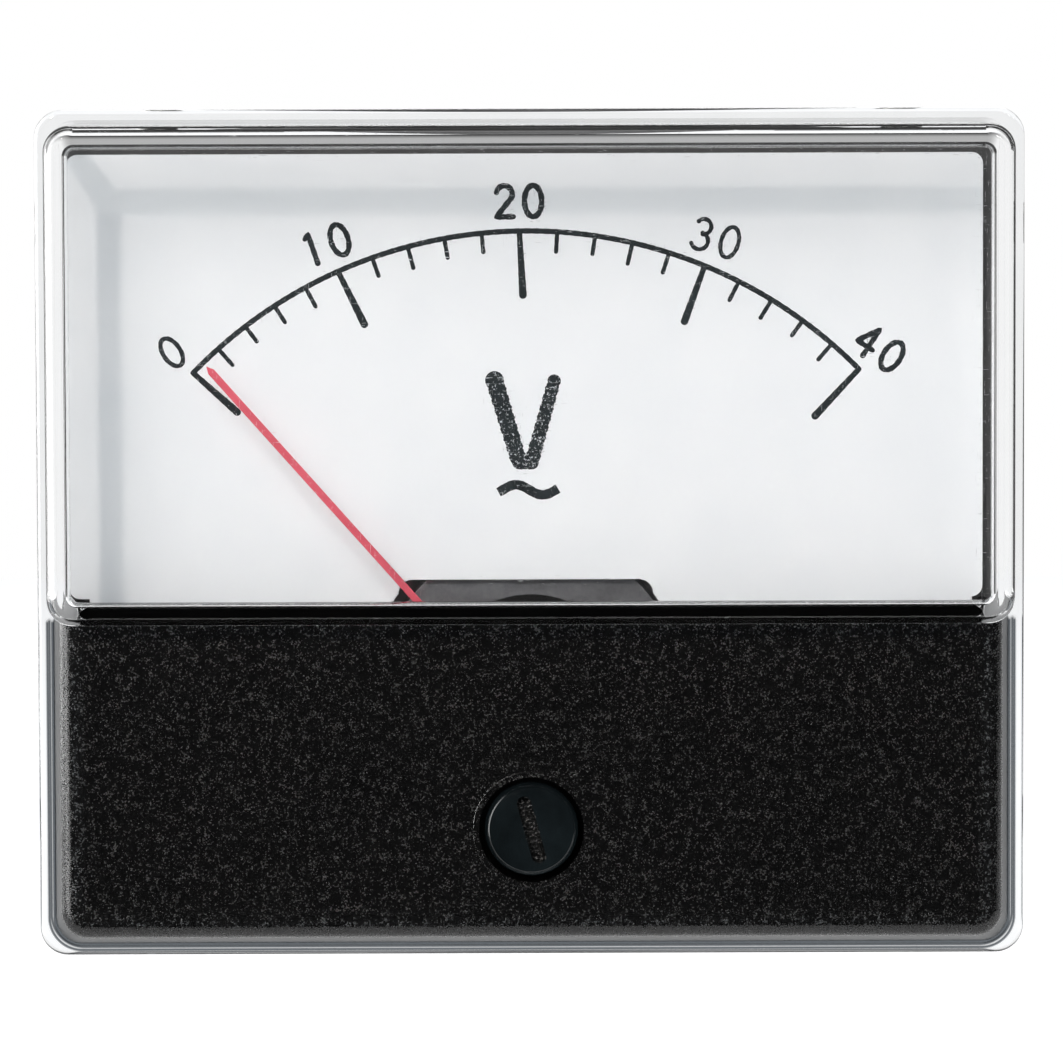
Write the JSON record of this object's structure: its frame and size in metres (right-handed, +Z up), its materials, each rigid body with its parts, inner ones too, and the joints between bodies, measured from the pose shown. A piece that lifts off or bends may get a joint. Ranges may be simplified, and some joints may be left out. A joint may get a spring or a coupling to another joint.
{
  "type": "analog panel meter",
  "caption": "Flush panel meter: clear moulded cover over a white dial with a red pointer, black lower face with a zero adjuster, round rear barrel with panel studs and screw terminals.",
  "frame": {"origin": "centre of the four panel studs, on the plane of the flange's rear face, which is the panel's front surface", "axes": "+X to the viewer's right, +Y out of the back of the panel along the barrel, +Z up; the front faces -Y"},
  "size_m": [0.07, 0.0529, 0.06],
  "materials": {
    "clear_plastic": "gloss",
    "black_mask": "matte",
    "black_housing": "satin",
    "black_gloss": "gloss",
    "dial_white": "satin",
    "zinc_steel": "satin",
    "brass": "satin",
    "die_casting": "matte",
    "soft_iron": "satin",
    "magnet_alloy": "matte",
    "ruby": "polished",
    "board_green": "satin",
    "diode_glass": "gloss",
    "resistor_body": "satin",
    "red_wire": "satin",
    "blue_wire": "satin",
    "bare_aluminium": "satin",
    "copper_winding": "gloss",
    "hard_steel": "polished",
    "pointer_red": "satin",
    "spring_bronze": "satin"
  },
  "bodies": {
    "case": {"front_cover": "clear_plastic", "front_mask": "black_mask", "base_housing": "black_housing", "dial_plate": "dial_white", "dial_screws": "zinc_steel", "panel_studs": "zinc_steel", "movement_frame": "die_casting", "frame_screws": "zinc_steel", "yoke_ring": "soft_iron", "core_magnet": "magnet_alloy", "front_bridge": "brass", "front_pillars": "zinc_steel", "front_bridge_screws": "zinc_steel", "front_jewel_screw": "brass", "rear_bridge": "brass", "rear_pillars": "zinc_steel", "rear_bridge_screws": "zinc_steel", "rear_jewel_screw": "brass", "jewels": "ruby", "jewel_lock_nuts": "brass", "spring_anchor": "brass", "pointer_stops": "zinc_steel", "circuit_board": "board_green", "rectifier_diodes": "diode_glass", "range_resistor": "resistor_body", "terminal_studs": "brass", "terminal_nuts": "brass", "terminal_washers": "zinc_steel", "spring_washers": "zinc_steel", "front_lead": "red_wire", "rear_lead": "blue_wire"},
    "pointer_unit": {"coil_former": "bare_aluminium", "coil_winding": "copper_winding", "front_pivot": "hard_steel", "rear_pivot": "hard_steel", "balance_cross": "bare_aluminium", "balance_weights": "brass", "pointer": "pointer_red", "front_hairspring": "spring_bronze", "rear_hairspring": "spring_bronze"},
    "adjuster": {"zero_screw": "black_gloss"},
    "zero_fork": {"zero_lever": "brass"}
  },
  "joints": [
    {"name": "pointer_swing", "type": "hinge", "parent": "case", "child": "pointer_unit", "pos_m": [0, 0.003, -0.0112], "axis": [0, 1, 0], "range_deg": [-3, 94], "stiffness_Nm_per_rad": 0.00002, "deforming": ["front_hairspring", "rear_hairspring"]},
    {"name": "zero_adjust", "type": "hinge", "parent": "case", "child": "adjuster", "pos_m": [0, -0.009, -0.0202], "axis": [0, 1, 0], "range_deg": [-45, 45]},
    {"name": "zero_lever_swing", "type": "hinge", "parent": "case", "child": "zero_fork", "pos_m": [0, -0.0072, -0.0112], "axis": [0, 1, 0], "range_deg": [-6, 6]}
  ],
  "couplings": [
    {"joint": "zero_lever_swing", "follows": "zero_adjust", "ratio": 0.13}
  ]
}
